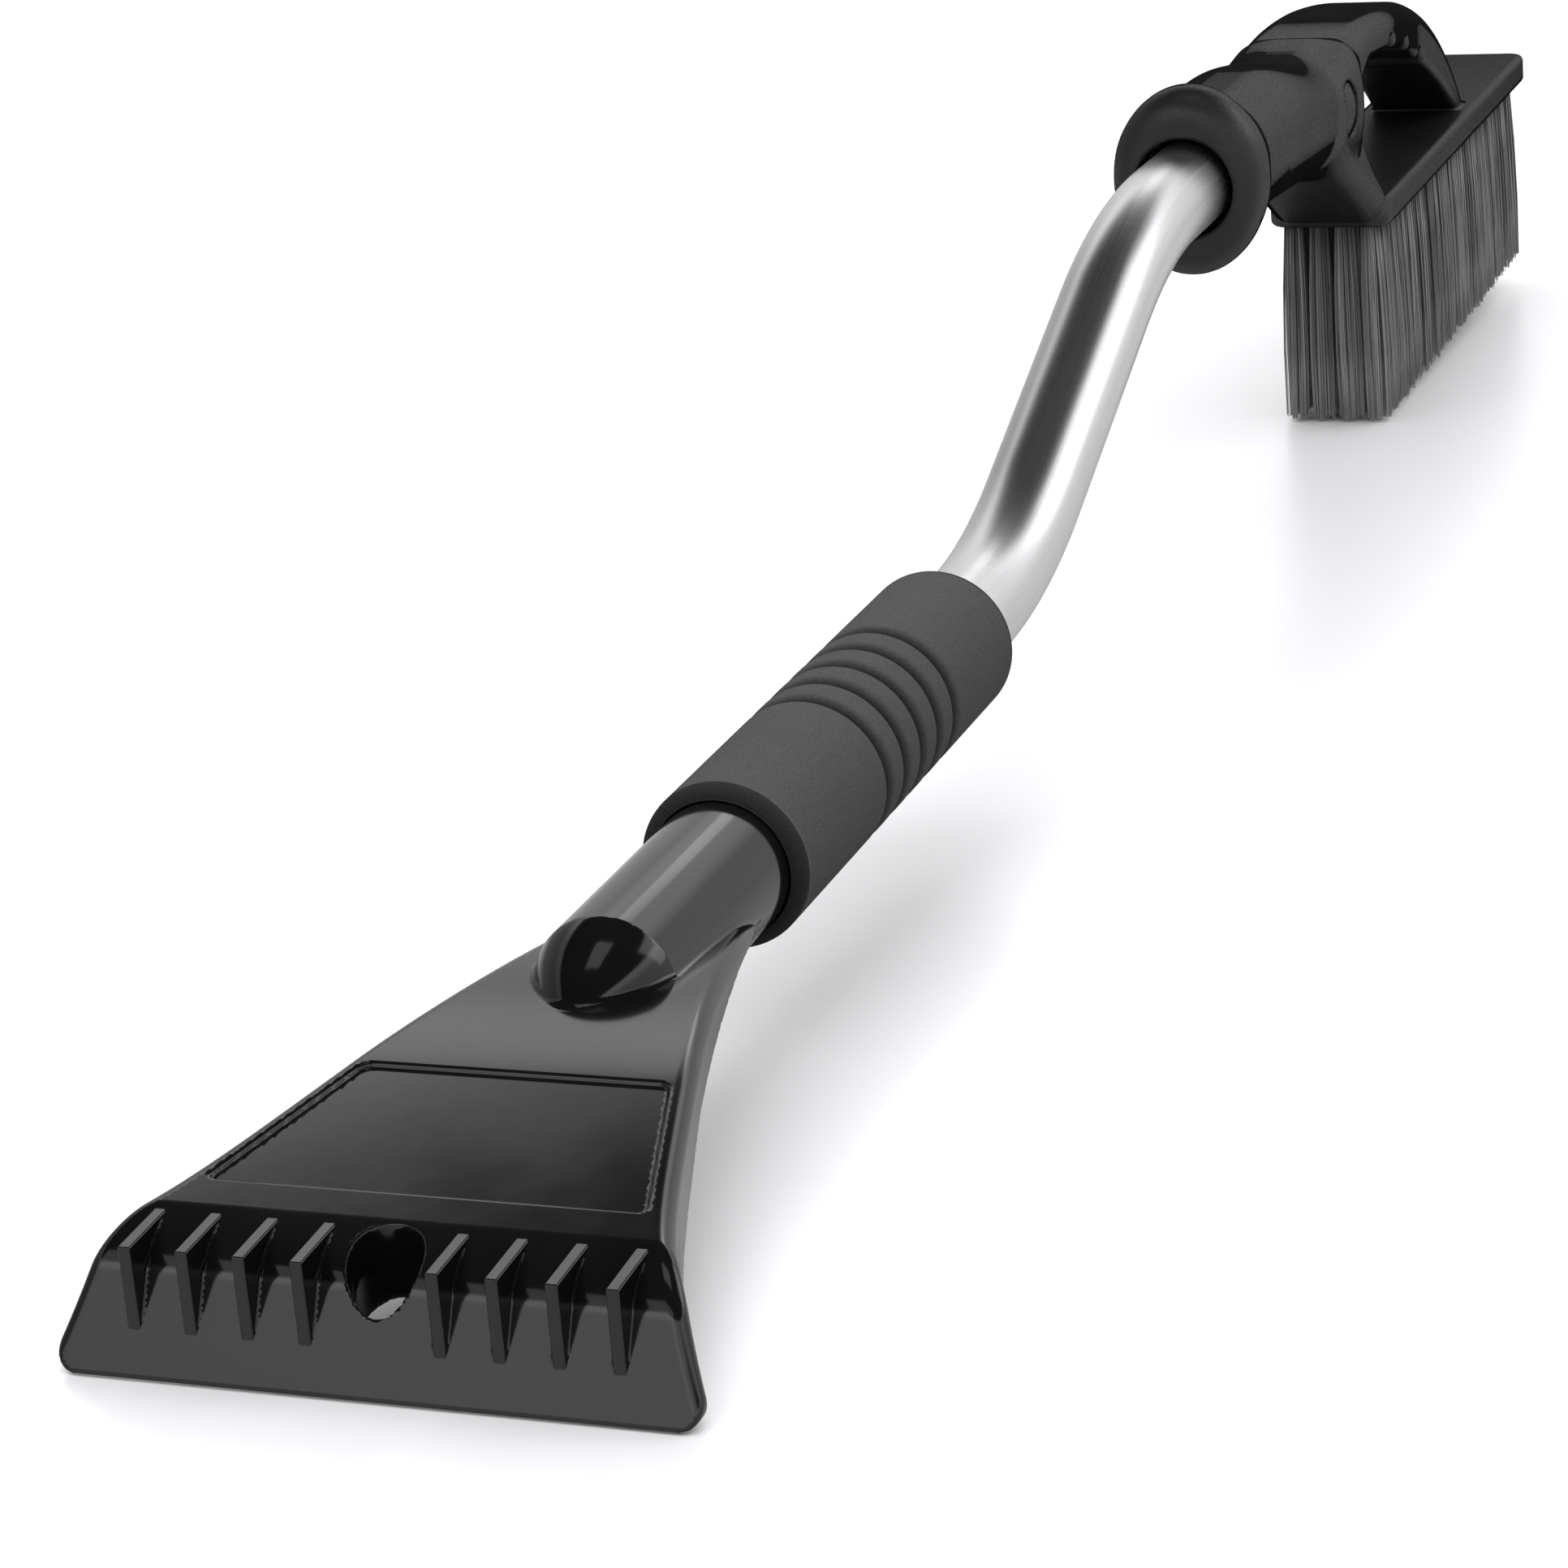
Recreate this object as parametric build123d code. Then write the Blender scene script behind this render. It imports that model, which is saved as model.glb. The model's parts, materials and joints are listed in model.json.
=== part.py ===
"""Windshield ice scraper with a snow brush on a double-bent handle.

Millimetres. The tool is drawn level, in the handle frame: X runs along the grip from the
scraper to the brush, with X = 0 just inside the scraper end of the foam grip, Z = 0 on the
grip's axis, and Y = 0 on the mirror plane. Every piece is then tipped to the way the tool rests on
a table, on its blade edge and the near bristle tips, with the table at Z = 0.
"""
import math
import os

from build123d import *

# ---- handle ---------------------------------------------------------------------------
TUBE_R = 11.0
TUBE_WALL = 1.2
BEND_ANGLE = 22.8
BEND_R_LOWER = 135.0
BEND_R_UPPER = 149.0
BEND_START = 147.3
BEND_STRAIGHT = 68.7
TUBE_FROM = -33.0
TUBE_TO = 456.0

GRIP_FROM = -1.0
GRIP_LENGTH = 131.2
GRIP_R = 16.3
GRIP_END_ROUND = 3.4

# ---- scraper head ---------------------------------------------------------------------
STEM_R = 13.25
STEM_FROM = -56.5
STEM_TO = 25.0
NOSE_LENGTH = 18.8
NOSE_BULGE = 3.4
SOCKET_CLEARANCE = 0.05

BLADE_X = -160.1
BLADE_Z = -25.0
BLADE_HALF = 58.2
BLADE_CORNER_R = 6.5
PLATE_TILT = 5.7
PLATE_EDGE_ROUND = 3.2
HEAD_WALL = 2.8
HEAD_RIB = 2.2
HEAD_RIB_SPACING = 22.0
CROSS_RIB_X = -112.0
BLADE_LIP = 0.9

HOLE_R = 6.2
HOLE_X = -148.7
HOLE_Z = -5.5
HOLE_BOSS_WALL = 2.6

PANEL_NEAR_X = -134.0
PANEL_FAR_X = -96.0
PANEL_NEAR_HALF = 37.7
PANEL_FAR_HALF = 27.1
PANEL_DEPTH = 0.9
PANEL_CORNER_R = 1.8

CLAW_PITCH = 9.83
CLAW_FIRST = 11.34
CLAWS_PER_SIDE = 4
CLAW_WIDTH = 2.2

PIN_R = 2.0
PIN_X = 12.0

# ---- brush head -----------------------------------------------------------------------
COLLAR_FROM = 337.7
COLLAR_LENGTH = 17.5
COLLAR_HALF_WIDTH = 19.5
COLLAR_HALF_HEIGHT = 23.9
COLLAR_RISE = 0.7
COLLAR_ROUND = 8.0
COLLAR_MOUTH_R = 12.4
COLLAR_MOUTH_DEPTH = 9.0
BORE_CLEARANCE = 0.3
BORE_TO = 458.0

NECK_WIDTH = 36.4
NECK_HEIGHT = 37.6
NECK_END_HEIGHT = 32.0
NECK_FALL_FROM = 388.0
NECK_FALL_TO = 434.0
NECK_CORNER_R = 15.0
NECK_TO = 462.0

ARCH_HALF_WIDTH = 16.6
ARCH_REAR_HALF_WIDTH = 13.2
ARCH_ROUND = 4.6
FINGER_SEAT_R = 5.0

PLATE_FROM = 488.0
PLATE_TO = 697.0
PLATE_HALF_WIDTH = 17.5
PLATE_BOTTOM = 3.4
PLATE_THICKNESS = 8.6
PLATE_CORNER_R = 6.0
PLATE_ROUND = 1.6

TUFT_ROWS = 4
TUFTS_PER_ROW = 24
TUFT_FIRST_X = 493.0
TUFT_PITCH_X = 8.45
TUFT_ROW_PITCH = 7.3
TUFT_HOLE_R = 2.7
TUFT_HOLE_DEPTH = 6.6
TUFT_ROOT_R = 2.6
TUFT_ROOT_DEPTH = 5.0
BRISTLE_LENGTH = 57.0
ROW_ROOT_HALF = 3.1
ROW_TIP_HALF = 3.7
ROW_TIP_PITCH = 8.0
ROW_END_FLARE = 1.6
ROOT_GAP = 0.05
ANCHOR_WIDTH = 4.4
ANCHOR_THICKNESS = 0.4
ANCHOR_HEIGHT = 1.4

# ---- release button and snap spring -----------------------------------------------------
BUTTON_X = 444.0
BUTTON_DROP = 2.2
BUTTON_R = 7.0
BUTTON_GAP = 0.3
BUTTON_STEM_R = 2.6
BUTTON_CAP_INNER = 16.7
BUTTON_RIM = 18.0
BUTTON_CROWN = 1.7
BUTTON_FLOOR = 12.9
PIN_TIP_Y = 14.4
SNAP_PIN_R = 3.0
SNAP_PIN_HOLE_R = 3.3
SPRING_THICKNESS = 0.5
SPRING_WIDTH = 8.0
SPRING_LENGTH = 34.0

# ---- worked out from the sizes above ------------------------------------------------------
bend = math.radians(BEND_ANGLE)
lower_tangent = BEND_R_LOWER * math.tan(bend / 2)
upper_tangent = BEND_R_UPPER * math.tan(bend / 2)
oblique = lower_tangent + BEND_STRAIGHT + upper_tangent
lower_corner_x = BEND_START + lower_tangent
upper_corner_x = lower_corner_x + oblique * math.cos(bend)
AXIS_Z = oblique * math.sin(bend)
PLATE_TOP = PLATE_BOTTOM + PLATE_THICKNESS
TIP_Z = PLATE_BOTTOM - BRISTLE_LENGTH
BUTTON_Z = AXIS_Z - BUTTON_DROP
tuft_middle_x = TUFT_FIRST_X + TUFT_PITCH_X * (TUFTS_PER_ROW - 1) / 2
row_length = TUFT_PITCH_X * (TUFTS_PER_ROW - 1) + 2 * ROW_ROOT_HALF
tip_near_x = tuft_middle_x - row_length / 2 - ROW_END_FLARE
REST_TILT = math.degrees(math.atan2(BLADE_Z - TIP_Z, tip_near_x - BLADE_X))


def xz_slab(outline, half_width):
    """A closed outline in the XZ plane, grown evenly to both sides of the mirror plane."""
    return extrude(Plane.XZ.offset(-half_width) * make_face(outline), 2 * half_width)


def xy_prism(outline, bottom, top):
    """A closed outline in the XY plane, grown upward from bottom to top."""
    return extrude(Pos(0, 0, bottom) * make_face(outline), top - bottom)


def rod_x(radius, start, end, z=0.0):
    """A round bar along X."""
    face = Plane(origin=(start, 0, z), x_dir=(0, 1, 0), z_dir=(1, 0, 0)) * Circle(radius)
    return extrude(face, end - start)


def rod_y(radius, start, end, x, z):
    """A round bar along Y."""
    face = Plane(origin=(x, start, z), x_dir=(1, 0, 0), z_dir=(0, 1, 0)) * Circle(radius)
    return extrude(face, end - start)


def mirrored_outline(half):
    """Close a run of half-width points (x, y) into a smooth-sided outline about Y = 0."""
    left = Spline(*half)
    right = mirror(left, Plane.XZ)
    near = Line(right @ 0, left @ 0)
    far = Line(left @ 1, right @ 1)
    return left + right + near + far


# ---- scraper head -------------------------------------------------------------------------
def plan_points(inset):
    """Half widths of the flared scraper plate, from the blade to the stem."""
    flare = [(-162.0, 59.8), (-156.0, 54.4), (-148.0, 48.9), (-134.0, 42.5), (-114.5, 36.5),
             (-92.5, 30.4), (-58.5, 22.0), (-38.5, 18.0), (-14.0, 12.6)]
    return [(x, half - inset) for x, half in flare]


def top_line(drop):
    """Upper side profile: steep front, rounded shoulder, flat panel, gentle crown to the stem."""
    tilt = math.radians(PLATE_TILT)
    flat = (math.cos(tilt), math.sin(tilt))
    front = Line((BLADE_X, BLADE_Z + BLADE_LIP - drop), (-152.8, -10.4 - drop))
    shoulder = TangentArc(front @ 1, (-141.6, -2.8 - drop), tangent=front % 1)
    panel = Line(shoulder @ 1, (-96.0, 1.8 - drop))
    crown = Spline(panel @ 1, (-76.0, 3.0 - drop), (-57.0, 3.1 - drop), (-36.0, 1.9 - drop),
                   (-14.0, 0.0 - drop), tangents=[flat, (1.0, -0.09)])
    return front + shoulder + panel + crown


def head_block():
    """The scraper plate before it is hollowed: side profile, plan and front view intersected."""
    top = top_line(0.0)
    under = Polyline(top @ 1, (-14.0, -2.8), (-40.0, -1.8), (-92.5, -5.4), (-141.8, -16.6),
                     (BLADE_X + BLADE_LIP, BLADE_Z), top @ 0)
    side = xz_slab(top + under, BLADE_HALF + 5)
    plan = xy_prism(mirrored_outline(plan_points(0.0)), -40, 20)
    front = extrude(Plane(origin=(-170, 0, BLADE_Z + 30), x_dir=(0, 1, 0), z_dir=(1, 0, 0))
                    * RectangleRounded(2 * BLADE_HALF, 60, BLADE_CORNER_R), 170)
    return side & plan & front


def head_cavity():
    """The open underside: a hollow that follows the plate, crossed by stiffening ribs."""
    top = top_line(HEAD_WALL)
    close = Polyline(top @ 1, (-14.0, -45.0), (BLADE_X, -45.0), top @ 0)
    inner_plan = xy_prism(mirrored_outline(plan_points(HEAD_WALL)), -40, 20)
    hollow = xz_slab(top + close, BLADE_HALF) & inner_plan
    hollow -= Pos(-165.0, 0, 0) * Box(30, 200, 100)
    hollow -= Pos(-30.0, 0, 0) * Box(100, 200, 100)
    for rib_y in (-HEAD_RIB_SPACING, 0.0, HEAD_RIB_SPACING):
        hollow -= Pos(-110, rib_y, 0) * Box(110, HEAD_RIB, 80)
    hollow -= Pos(CROSS_RIB_X, 0, 0) * Box(HEAD_RIB, 200, 80)
    return hollow - hole_rod(HOLE_R + HOLE_BOSS_WALL)


def hole_rod(radius):
    """A bar along the hanging hole, square to the label panel."""
    return Pos(HOLE_X, 0, HOLE_Z) * Rot(0, -PLATE_TILT, 0) * Cylinder(radius, 80)


def label_panel():
    """The shallow tapered recess in the top of the plate."""
    near = (PANEL_NEAR_X, PANEL_NEAR_HALF)
    far = (PANEL_FAR_X, PANEL_FAR_HALF)
    corners = [near, far, (far[0], -far[1]), (near[0], -near[1])]
    tilt = math.radians(PLATE_TILT)
    level = [(x / math.cos(tilt) - PANEL_NEAR_X / math.cos(tilt), y) for x, y in corners]
    outline = make_face(Polyline(*level, close=True))
    outline = fillet(outline.vertices(), PANEL_CORNER_R)
    top_at_near = -2.8 + (PANEL_NEAR_X + 141.6) * math.tan(tilt)
    return Pos(PANEL_NEAR_X, 0, top_at_near - PANEL_DEPTH) * Rot(0, -PLATE_TILT, 0) * extrude(outline, 10)


def claws():
    """The row of ice-breaking ribs across the front slope, left free at the hanging hole."""
    outline = Polyline((-156.4, -3.8), (-156.7, -18.3), (-150.0, -17.0), (-141.0, -7.0),
                       (-141.2, -3.0), close=True)
    row = []
    for index in range(CLAWS_PER_SIDE):
        offset = CLAW_FIRST + index * CLAW_PITCH
        for side in (-1, 1):
            row.append(Pos(0, side * offset, 0) * xz_slab(outline, CLAW_WIDTH / 2))
    return row


def stem():
    """The round socket for the tube, with a domed end that is creased where it starts."""
    barrel = rod_x(STEM_R, STEM_FROM, STEM_TO)
    dome = ThreePointArc((STEM_FROM, STEM_R),
                         (STEM_FROM - NOSE_LENGTH / 2 - NOSE_BULGE * 0.6, STEM_R / 2 + NOSE_BULGE * 0.8),
                         (STEM_FROM - NOSE_LENGTH, 0))
    base = Polyline(dome @ 1, (STEM_FROM, 0), dome @ 0)
    nose = revolve(Plane.XZ * make_face(dome + base), Axis.X)
    return barrel + nose


def build_scraper_head():
    """Blade, plate, claws, hanging hole and socket: one moulding."""
    block = head_block()
    walls = [face for face in block.faces() if abs(face.normal_at().Y) > 0.5 and face.area > 100]
    tops = [face for face in block.faces() if face.normal_at().Z > 0.3]
    top_edges = [edge for face in tops for edge in face.edges()]
    rim = [edge for wall in walls for edge in wall.edges() if any(edge.is_same(top) for top in top_edges)]
    head = fillet(rim, PLATE_EDGE_ROUND) - head_cavity()
    for claw in claws():
        head += claw
    head -= label_panel()
    head += stem()
    head -= hole_rod(HOLE_R)
    head -= rod_x(TUBE_R + SOCKET_CLEARANCE, TUBE_FROM - 0.5, STEM_TO + 1)
    return head - rod_y(PIN_R, -20, 20, PIN_X, 0)


# ---- handle -------------------------------------------------------------------------------
def tube_route():
    """Centre line: straight through the grip, up, and level again into the brush head."""
    level_in = Line((TUBE_FROM, 0, 0), (BEND_START, 0, 0))
    rise_from = (BEND_START + BEND_R_LOWER * math.sin(bend), 0, BEND_R_LOWER * (1 - math.cos(bend)))
    middle = bend / 2
    lower_mid = (BEND_START + BEND_R_LOWER * math.sin(middle), 0,
                 BEND_R_LOWER * (1 - math.cos(middle)))
    lower = ThreePointArc(level_in @ 1, lower_mid, rise_from)
    end_x = upper_corner_x + upper_tangent
    rise_to = (end_x - BEND_R_UPPER * math.sin(bend), 0,
               AXIS_Z - BEND_R_UPPER * (1 - math.cos(bend)))
    upper_mid = (end_x - BEND_R_UPPER * math.sin(middle), 0,
                 AXIS_Z - BEND_R_UPPER * (1 - math.cos(middle)))
    oblique_run = Line(rise_from, rise_to)
    upper = ThreePointArc(rise_to, upper_mid, (end_x, 0, AXIS_Z))
    level_out = Line((end_x, 0, AXIS_Z), (TUBE_TO, 0, AXIS_Z))
    return Wire([level_in, lower, oblique_run, upper, level_out])


def build_handle_tube():
    """Bent aluminium tube, drilled for the cross pin and the snap pin."""
    route = tube_route()
    start = Plane(origin=(TUBE_FROM, 0, 0), x_dir=(0, 1, 0), z_dir=(1, 0, 0))
    tube = sweep(start * Circle(TUBE_R), path=route)
    tube -= sweep(start * Circle(TUBE_R - TUBE_WALL), path=route)
    tube -= rod_y(PIN_R, -20, 20, PIN_X, 0)
    return tube - rod_y(SNAP_PIN_HOLE_R, -20, 0, BUTTON_X, BUTTON_Z)


def build_foam_grip():
    """Foam sleeve over the socket and the tube, with rounded ends."""
    sleeve = fillet(rod_x(GRIP_R, GRIP_FROM, GRIP_FROM + GRIP_LENGTH).edges(), GRIP_END_ROUND)
    sleeve -= rod_x(STEM_R + SOCKET_CLEARANCE, GRIP_FROM - 1, STEM_TO + 0.3)
    sleeve -= rod_x(TUBE_R + SOCKET_CLEARANCE, 0, GRIP_LENGTH + 1)
    mouth = Plane(origin=(GRIP_FROM, 0, 0), x_dir=(0, 1, 0), z_dir=(1, 0, 0))
    return sleeve - loft([mouth * Circle(STEM_R + 1.3), mouth.offset(4.0) * Circle(STEM_R)])


def build_cross_pin():
    """Steel pin through the socket and the tube, hidden under the foam."""
    return rod_y(PIN_R - 0.02, -STEM_R + 0.4, STEM_R - 0.4, PIN_X, 0)


# ---- brush head ---------------------------------------------------------------------------
def brush_collar():
    """Oval guard with a fully rounded rim where the tube enters."""
    face = Plane(origin=(COLLAR_FROM, 0, AXIS_Z + COLLAR_RISE), x_dir=(0, 1, 0), z_dir=(1, 0, 0))
    ring = extrude(face * Ellipse(COLLAR_HALF_WIDTH, COLLAR_HALF_HEIGHT), COLLAR_LENGTH)
    return fillet(ring.edges().filter_by(GeomType.ELLIPSE), COLLAR_ROUND)


def brush_neck():
    """Rounded barrel that holds the end of the tube; its top falls towards the hand grip."""
    sections = []
    for x, height in ((COLLAR_FROM + 6, NECK_HEIGHT), (NECK_FALL_FROM, NECK_HEIGHT),
                      (NECK_FALL_TO, NECK_END_HEIGHT), (NECK_TO, NECK_END_HEIGHT)):
        middle_z = AXIS_Z + (height - NECK_HEIGHT) / 2
        face = Plane(origin=(x, 0, middle_z), x_dir=(0, 1, 0), z_dir=(1, 0, 0))
        sections.append(face * RectangleRounded(NECK_WIDTH, height, NECK_CORNER_R))
    return loft(sections, ruled=True)


def arch_side():
    """Side view of the hand grip: sloping front wall, shoulder, and a bar that curves down."""
    crest = Spline((430, 51.5), (442, 58.2), (456, 62.4), (478, 64.4), (506, 63.9), (542, 58.2),
                   (576, 46.2), (602, 30.0), (620, 14.0))
    foot = Polyline((620, 14.0), (616, 6.0), (490.5, PLATE_BOTTOM), (485, 9.0), (465, 19.0), (440, 31.0),
                    (430, 37.0), (430, 51.5))
    return crest + foot


def window_side():
    """Side view of the finger opening through the hand grip."""
    roof = Spline((474, 53.6), (496, 51.9), (519, 48.7), (547, 41.0), (573, 31.0), (607, PLATE_TOP))
    base = Line((607, PLATE_TOP), (493, PLATE_TOP))
    front = Spline((493, PLATE_TOP), (482, 20.0), (471.5, 28.5), (465, 37.0), (466.5, 46.0), (474, 53.6))
    return roof + base + front


def finger_seats():
    """Three shallow hollows in the roof of the finger opening."""
    middles = ((506.0, 48.4), (532.0, 42.9), (558.0, 34.4))
    return [rod_y(FINGER_SEAT_R, -30, 30, x, z) for x, z in middles]


def brush_arch():
    """The hand grip, narrowing towards its rear foot, open from side to side."""
    front, rear = ARCH_HALF_WIDTH, ARCH_REAR_HALF_WIDTH
    plan = Polyline((420, front), (500, front), (560, rear), (624, rear), (624, -rear), (560, -rear),
                    (500, -front), (420, -front), close=True)
    solid = xz_slab(arch_side(), 30) & xy_prism(plan, -20, 100)
    walls = [face for face in solid.faces() if abs(face.normal_at().Y) > 0.9]
    crest = max(solid.faces(), key=lambda face: face.center().Z)
    rim = [e for wall in walls for e in wall.edges() if any(e.is_same(c) for c in crest.edges())]
    arch = fillet(rim, ARCH_ROUND) - xz_slab(window_side(), 30)
    for seat in finger_seats():
        arch -= seat
    return arch


def brush_plate():
    """The long flat block that carries the tufts."""
    outline = RectangleRounded(PLATE_TO - PLATE_FROM, 2 * PLATE_HALF_WIDTH, PLATE_CORNER_R)
    block = extrude(Pos((PLATE_FROM + PLATE_TO) / 2, 0, PLATE_BOTTOM) * outline, PLATE_THICKNESS)
    return fillet(block.faces().sort_by(Axis.Z)[-1].edges(), PLATE_ROUND)


def tuft_places():
    """Root of every tuft: along the plate, and across it."""
    first_y = -TUFT_ROW_PITCH * (TUFT_ROWS - 1) / 2
    columns = [TUFT_FIRST_X + TUFT_PITCH_X * index for index in range(TUFTS_PER_ROW)]
    rows = [first_y + TUFT_ROW_PITCH * index for index in range(TUFT_ROWS)]
    return columns, rows


def upright(radius, x, y, bottom, top):
    """A round bar along Z."""
    return Pos(x, y, (bottom + top) / 2) * Cylinder(radius, top - bottom)


def button_axis(radius, inner, outer):
    """A round bar along the button's axis, between two depths from the mirror plane."""
    return rod_y(radius, -outer, -inner, BUTTON_X, BUTTON_Z)


def build_brush_head():
    """Collar, neck, hand grip and tuft plate: one moulding."""
    head = brush_collar() + brush_neck() + brush_arch() + brush_plate()
    head -= rod_x(TUBE_R + BORE_CLEARANCE, COLLAR_FROM - 1, BORE_TO, AXIS_Z)
    head -= rod_x(COLLAR_MOUTH_R, COLLAR_FROM - 1, COLLAR_FROM + COLLAR_MOUTH_DEPTH, AXIS_Z)
    head -= button_axis(SNAP_PIN_HOLE_R, 0, 30)
    head -= button_axis(BUTTON_R + BUTTON_GAP, BUTTON_FLOOR, 30)
    columns, rows = tuft_places()
    for x in columns:
        for y in rows:
            head -= upright(TUFT_HOLE_R, x, y, PLATE_BOTTOM - 1, PLATE_BOTTOM + TUFT_HOLE_DEPTH)
    return head


def build_bristle_row(row):
    """One lengthways row of tufts: a fanned block with a round root in every tuft hole."""
    columns, rows = tuft_places()
    root_y = rows[row]
    tip_y = root_y * ROW_TIP_PITCH / TUFT_ROW_PITCH
    root_half_x = row_length / 2
    tip_half_x = root_half_x + ROW_END_FLARE
    root_place = Pos(tuft_middle_x, root_y, PLATE_BOTTOM - ROOT_GAP)
    root = root_place * Rectangle(2 * root_half_x, 2 * ROW_ROOT_HALF)
    tip = Pos(tuft_middle_x, tip_y, TIP_Z) * Rectangle(2 * tip_half_x, 2 * ROW_TIP_HALF)
    tufts = loft([root, tip])
    for x in columns:
        tufts += upright(TUFT_ROOT_R, x, root_y, PLATE_BOTTOM - 1, PLATE_BOTTOM + TUFT_ROOT_DEPTH)
    return tufts


def build_tuft_anchors():
    """Flat wire anchors that pin each folded tuft to the end of its hole."""
    columns, rows = tuft_places()
    height = PLATE_BOTTOM + TUFT_ROOT_DEPTH + 0.1 + ANCHOR_HEIGHT / 2
    strip = Box(ANCHOR_WIDTH, ANCHOR_THICKNESS, ANCHOR_HEIGHT)
    return Compound(children=[Pos(x, y, height) * strip for x in columns for y in rows])


# ---- release button and snap spring ----------------------------------------------------------
def build_release_button():
    """Domed cap in the side of the neck, with a short stem that meets the snap pin."""
    rim = button_axis(BUTTON_R, BUTTON_CAP_INNER, BUTTON_RIM)
    dome_r = (BUTTON_R ** 2 + BUTTON_CROWN ** 2) / (2 * BUTTON_CROWN)
    ball = Pos(BUTTON_X, -(BUTTON_RIM + BUTTON_CROWN - dome_r), BUTTON_Z) * Sphere(dome_r)
    dome = ball & button_axis(BUTTON_R, BUTTON_RIM - 0.5, BUTTON_RIM + 5)
    return rim + dome + button_axis(BUTTON_STEM_R, PIN_TIP_Y + 0.1, BUTTON_CAP_INNER + 0.5)


def build_snap_spring():
    """Folded steel strip inside the tube that pushes the snap pin out through both walls."""
    leaf_y = -(TUBE_R - TUBE_WALL) * 0.62
    heel_x = BUTTON_X - SPRING_LENGTH
    fold_r = 2.2
    live = Line((BUTTON_X + 4, leaf_y), (heel_x + fold_r, -fold_r))
    fold = ThreePointArc(live @ 1, (heel_x, 0.4), (heel_x + fold_r, fold_r + 0.6))
    rest = Line(fold @ 1, (BUTTON_X + 2, 6.6))
    strip = trace([live, fold, rest], line_width=SPRING_THICKNESS)
    spring = extrude(Pos(0, 0, BUTTON_Z - SPRING_WIDTH / 2) * strip, SPRING_WIDTH)
    return spring + button_axis(SNAP_PIN_R, abs(leaf_y) - 0.4, PIN_TIP_Y)


# ---- assembly -----------------------------------------------------------------------------------
nodes = {
    "scraper_head": build_scraper_head(),
    "socket_cross_pin": build_cross_pin(),
    "handle_tube": build_handle_tube(),
    "foam_grip": build_foam_grip(),
    "snap_spring": build_snap_spring(),
    "brush_head": build_brush_head(),
    "tuft_anchors": build_tuft_anchors(),
    "release_button": build_release_button(),
}
for row in range(TUFT_ROWS):
    nodes[f"bristle_row_{row + 1}"] = build_bristle_row(row)

tipped = {name: Rot(0, -REST_TILT, 0) * solid for name, solid in nodes.items()}
whole = Compound(children=[Compound(solid.solids()) for solid in tipped.values()]).bounding_box()
place = Pos(-whole.center().X, -whole.center().Y, -whole.min.Z)

os.makedirs("parts", exist_ok=True)
for name, solid in tipped.items():
    export_step(Compound((place * solid).solids()), f"parts/{name}.step")
print("tilt", round(REST_TILT, 4), "shift", place.position)
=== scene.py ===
import json
import math

import bpy
import numpy as np
from mathutils import Matrix, Vector
from numpy.polynomial import Polynomial


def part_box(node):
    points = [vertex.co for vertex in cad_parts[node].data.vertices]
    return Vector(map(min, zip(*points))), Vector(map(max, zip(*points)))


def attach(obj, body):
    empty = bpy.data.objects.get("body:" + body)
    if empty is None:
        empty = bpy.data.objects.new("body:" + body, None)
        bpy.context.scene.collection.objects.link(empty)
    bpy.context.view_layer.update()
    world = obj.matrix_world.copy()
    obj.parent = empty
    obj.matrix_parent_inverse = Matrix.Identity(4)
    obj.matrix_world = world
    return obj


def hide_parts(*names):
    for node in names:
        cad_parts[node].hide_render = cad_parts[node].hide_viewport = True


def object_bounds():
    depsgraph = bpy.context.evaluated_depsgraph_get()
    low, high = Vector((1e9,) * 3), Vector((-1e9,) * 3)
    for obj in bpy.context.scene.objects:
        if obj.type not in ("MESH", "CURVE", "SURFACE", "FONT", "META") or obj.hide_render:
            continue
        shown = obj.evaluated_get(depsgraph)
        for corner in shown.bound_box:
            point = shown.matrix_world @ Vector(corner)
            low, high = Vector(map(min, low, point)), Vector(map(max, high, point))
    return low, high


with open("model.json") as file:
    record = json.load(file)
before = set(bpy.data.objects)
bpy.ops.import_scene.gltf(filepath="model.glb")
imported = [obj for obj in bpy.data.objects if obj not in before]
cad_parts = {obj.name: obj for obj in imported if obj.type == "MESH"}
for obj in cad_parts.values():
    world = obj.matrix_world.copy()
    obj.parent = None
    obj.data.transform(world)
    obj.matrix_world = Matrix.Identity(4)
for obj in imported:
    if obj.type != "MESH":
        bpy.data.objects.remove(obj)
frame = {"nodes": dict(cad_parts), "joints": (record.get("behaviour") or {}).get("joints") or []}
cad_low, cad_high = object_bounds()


# ---- handle tube ------------------------------------------------------------------------
# Round aluminium tube, 22 mm outside with a thin wall, bent twice in one plane on a mandrel,
# then satin anodised. The scraper is pinned to one end and the brush slides on the other.
# Lengths in this file are millimetres along the grip, from the scraper's end of the foam.
CROSS_PIN_AT = 12.0
TUBE_R = 11.0
TUBE_WALL = 1.2
TUBE_FROM = -33.0
TUBE_TO = 456.0
BEND_ANGLE = math.radians(22.8)
LOWER_BEND_AT = 147.3
LOWER_BEND_R = 135.0
UPPER_BEND_R = 149.0
STRAIGHT_BETWEEN = 68.7
TUBE_STATIONS = 300
TUBE_AROUND = 96
bend_tangents = (LOWER_BEND_R + UPPER_BEND_R) * math.tan(BEND_ANGLE / 2)
rise_run = bend_tangents + STRAIGHT_BETWEEN
UPPER_AXIS_Z = rise_run * math.sin(BEND_ANGLE)

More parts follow.
